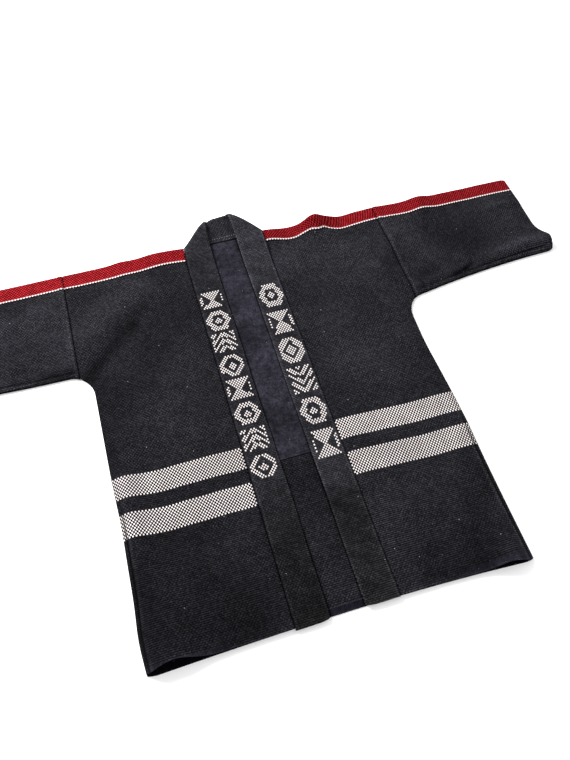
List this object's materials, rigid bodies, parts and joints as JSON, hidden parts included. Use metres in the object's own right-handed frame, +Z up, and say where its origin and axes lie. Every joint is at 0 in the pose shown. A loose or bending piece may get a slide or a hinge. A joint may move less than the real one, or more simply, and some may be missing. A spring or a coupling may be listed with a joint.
{
  "type": "fireman hanten jacket",
  "caption": "Short open-fronted fireman's coat of thick woven cotton with straight square sleeves and a long folded collar band, laid flat on its back.",
  "frame": {"origin": "the middle of the flat underside that the coat lies on", "axes": "+X across the shoulders towards the cuff of the wearer's left sleeve, +Y from the hem to the collar, +Z up from the surface it lies on, out of the front"},
  "size_m": [1.3122, 0.847, 0.0308],
  "materials": {
    "body_cloth": "matt double-woven cotton, worn indigo black",
    "sleeve_right_cloth": "matt double-woven cotton, worn indigo black",
    "sleeve_left_cloth": "matt double-woven cotton, worn indigo black",
    "collar_cloth": "matt cotton twill, worn black",
    "lining_cloth": "smooth plain cotton, dark navy"
  },
  "bodies": {
    "root": {"body": "body_cloth", "sleeve_right": "sleeve_right_cloth", "sleeve_left": "sleeve_left_cloth", "collar": "collar_cloth", "lining": "lining_cloth"}
  },
  "joints": []
}
